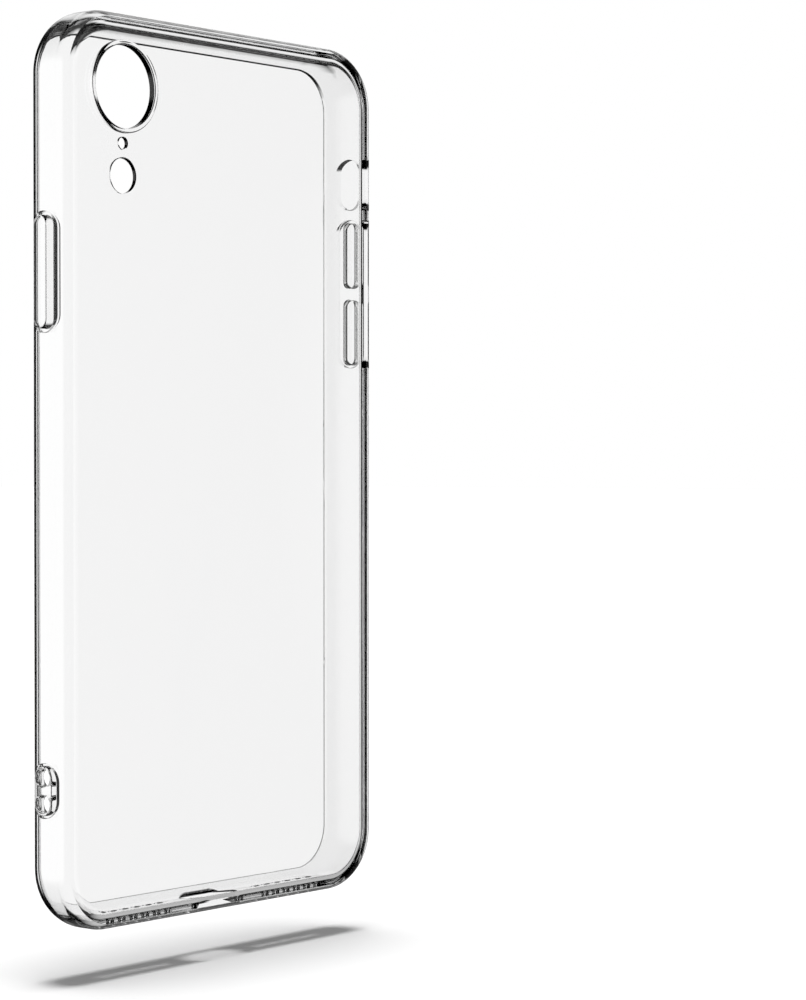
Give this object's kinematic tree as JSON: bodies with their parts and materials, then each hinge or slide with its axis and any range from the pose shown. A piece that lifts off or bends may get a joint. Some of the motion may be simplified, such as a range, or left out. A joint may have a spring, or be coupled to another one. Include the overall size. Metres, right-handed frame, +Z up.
{
  "type": "phone case",
  "caption": "Slim clear phone case: hard clear back plate in a soft clear bumper with press-through keys, raised camera ring and lanyard eyelet.",
  "frame": {"origin": "in the middle of phone_seat, the inner face of the back plate that the phone's back lies on, with the case upright and its charging port end down", "axes": "+Z up towards the camera end, the back faces -Y, the open front faces +Y, and +X is to the right as seen from behind"},
  "size_m": [0.0802, 0.0103, 0.154],
  "materials": {
    "clear_hard_plastic": "polished clear polycarbonate",
    "clear_soft_plastic": "glossy clear soft polyurethane, faint flow waves",
    "clear_key_plastic": "clear soft polyurethane, faintly satin on top"
  },
  "bodies": {
    "case": {"back_plate": "clear_hard_plastic", "bumper_frame": "clear_soft_plastic", "camera_collar": "clear_soft_plastic", "power_button_web": "clear_soft_plastic", "volume_button_web": "clear_soft_plastic", "lanyard_eyelet": "clear_soft_plastic"},
    "power_key": {"power_button": "clear_key_plastic"},
    "volume_up_key": {"volume_up_button": "clear_key_plastic"},
    "volume_down_key": {"volume_down_button": "clear_key_plastic"}
  },
  "joints": [
    {"name": "power_press", "type": "slide", "parent": "case", "child": "power_key", "axis": [1, 0, 0], "range_m": [0, 0.0004], "stiffness_N_per_m": 1500},
    {"name": "volume_up_press", "type": "slide", "parent": "case", "child": "volume_up_key", "axis": [-1, 0, 0], "range_m": [0, 0.0004], "stiffness_N_per_m": 1500},
    {"name": "volume_down_press", "type": "slide", "parent": "case", "child": "volume_down_key", "axis": [-1, 0, 0], "range_m": [0, 0.0004], "stiffness_N_per_m": 1500}
  ]
}
